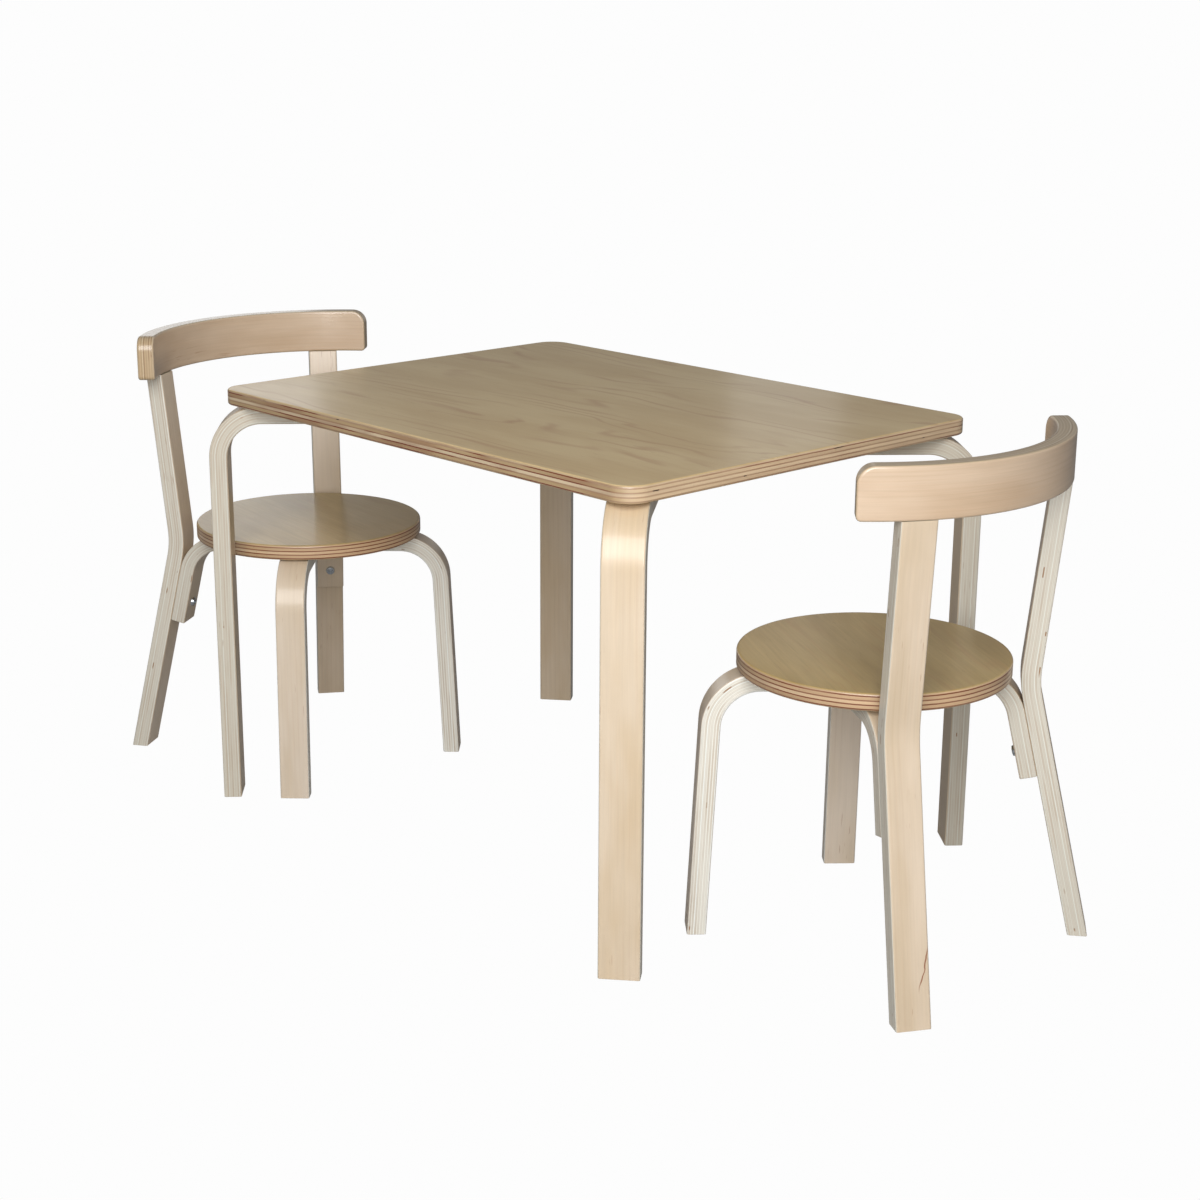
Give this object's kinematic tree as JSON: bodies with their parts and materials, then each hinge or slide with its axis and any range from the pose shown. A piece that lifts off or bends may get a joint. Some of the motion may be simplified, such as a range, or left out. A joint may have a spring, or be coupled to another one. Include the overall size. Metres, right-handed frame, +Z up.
{
  "type": "kids table and chairs",
  "caption": "Rounded plywood play table on cornerwise bent birch legs, with matching round-seated chairs that tuck under its ends; each has cranked posts and a curved backrest.",
  "frame": {"origin": "on the floor, at the middle of the whole set's footprint", "axes": "+X along the table's long side from the left chair to the right chair, +Z up"},
  "size_m": [1.2196, 0.572, 0.54],
  "materials": {
    "board_birch": "satin clear lacquer over rotary-cut birch plywood, plies showing at the edge",
    "bent_birch": "satin clear lacquer over bent-laminated birch, laminations showing on the narrow sides",
    "beech_dowel": "plain fluted beech, hidden in its holes",
    "zinc_steel": "bright zinc plate",
    "zinc_insert": "plain zinc, hidden in the wood"
  },
  "bodies": {
    "table": {"table_top": "board_birch", "table_leg_front_left": "bent_birch", "table_leg_front_right": "bent_birch", "table_leg_back_left": "bent_birch", "table_leg_back_right": "bent_birch", "table_leg_bolts": "zinc_steel", "table_top_inserts": "zinc_insert"},
    "left_chair": {"left_chair_seat": "board_birch", "left_chair_backrest": "bent_birch", "left_chair_front_left_leg": "bent_birch", "left_chair_front_right_leg": "bent_birch", "left_chair_left_bracket": "bent_birch", "left_chair_right_bracket": "bent_birch", "left_chair_left_post": "bent_birch", "left_chair_right_post": "bent_birch", "left_chair_seat_screws": "zinc_steel", "left_chair_post_bolts": "zinc_steel", "left_chair_post_inserts": "zinc_insert", "left_chair_bracket_dowels": "beech_dowel", "left_chair_backrest_dowels": "beech_dowel"},
    "right_chair": {"right_chair_seat": "board_birch", "right_chair_backrest": "bent_birch", "right_chair_front_left_leg": "bent_birch", "right_chair_front_right_leg": "bent_birch", "right_chair_left_bracket": "bent_birch", "right_chair_right_bracket": "bent_birch", "right_chair_left_post": "bent_birch", "right_chair_right_post": "bent_birch", "right_chair_seat_screws": "zinc_steel", "right_chair_post_bolts": "zinc_steel", "right_chair_post_inserts": "zinc_insert", "right_chair_bracket_dowels": "beech_dowel", "right_chair_backrest_dowels": "beech_dowel"}
  },
  "joints": [
    {"name": "left_chair_slide", "type": "slide", "parent": "table", "child": "left_chair", "axis": [1, 0, 0], "range_m": [-0.3, 0.13]},
    {"name": "right_chair_slide", "type": "slide", "parent": "table", "child": "right_chair", "axis": [-1, 0, 0], "range_m": [-0.3, 0.15]}
  ]
}
